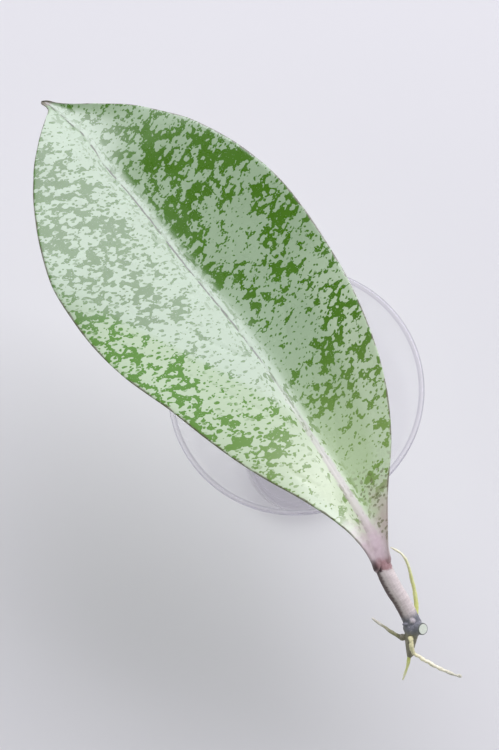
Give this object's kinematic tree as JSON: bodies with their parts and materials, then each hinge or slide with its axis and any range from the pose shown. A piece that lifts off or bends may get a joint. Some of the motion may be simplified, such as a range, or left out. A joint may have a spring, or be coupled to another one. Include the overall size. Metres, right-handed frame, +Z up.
{
  "type": "hoya leaf cutting on a clear tumbler",
  "caption": "A silver-splashed hoya leaf with its petiole, cut stem node and short roots, resting across the rim of a clear tapered tumbler",
  "frame": {"origin": "middle of the tumbler's flat underside, on the surface it stands on", "axes": "+Z up, tumbler's axis; the picture's right is about +X and its top about +Y; the leaf runs from its node at the front right (+X, -Y) to its tip at the back left (-X, +Y)"},
  "size_m": [0.1084, 0.1517, 0.0934],
  "materials": {
    "clear_glass": "clear, smooth, thin tapered wall with a rounded lip",
    "splashed_leaf": "waxy leaf, mid green under dense silver splashes, mauve at the base, dull pale green below",
    "petiole_skin": "scurfy grey-mauve petiole skin with a maroon band at the blade",
    "node_bark": "slate grey bark with a pale green cut face",
    "old_root": "olive brown, dry",
    "pale_root": "pale yellow, fresh",
    "green_root": "yellow-green, fresh"
  },
  "bodies": {
    "root": {"tumbler": "clear_glass", "leaf_blade": "splashed_leaf", "petiole": "petiole_skin", "stem_node": "node_bark", "root_left": "old_root", "root_down": "green_root", "root_right": "pale_root", "root_aerial": "green_root"}
  },
  "joints": []
}
